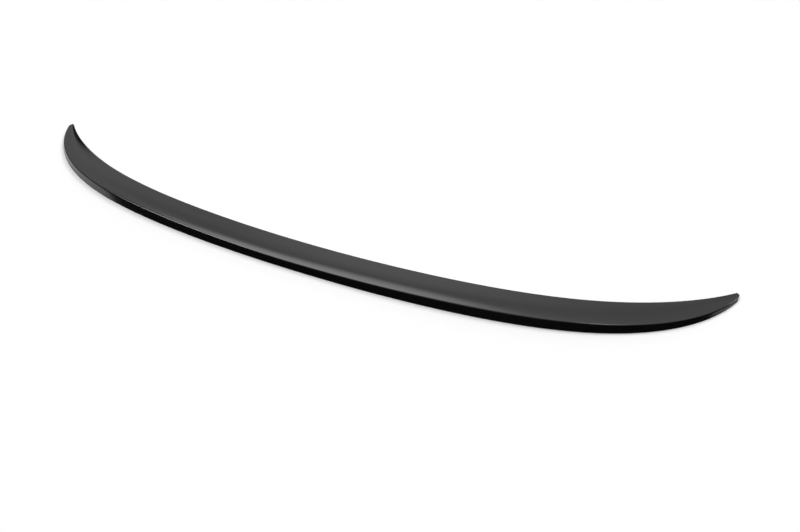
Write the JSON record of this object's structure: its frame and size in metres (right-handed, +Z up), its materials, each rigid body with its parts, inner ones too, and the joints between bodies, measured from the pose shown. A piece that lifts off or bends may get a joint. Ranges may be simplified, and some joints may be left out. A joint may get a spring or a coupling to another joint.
{
  "type": "car rear lip spoiler",
  "caption": "Slim bow-shaped rear lip spoiler for a car boot lid, gloss black, with a curled rear lip, tapered ends and foam tape strips underneath.",
  "frame": {"origin": "middle of the footprint, on the surface that the spoiler lies on", "axes": "+X across the car, -Y to the rear of the car (the raised lip), +Z up off the boot lid"},
  "size_m": [1.1824, 0.1712, 0.0112],
  "materials": {
    "gloss_black": "polished",
    "foam_tape": "matt foam"
  },
  "bodies": {
    "root": {"lip_moulding": "gloss_black", "front_tape": "foam_tape", "rear_tape": "foam_tape"}
  },
  "joints": []
}
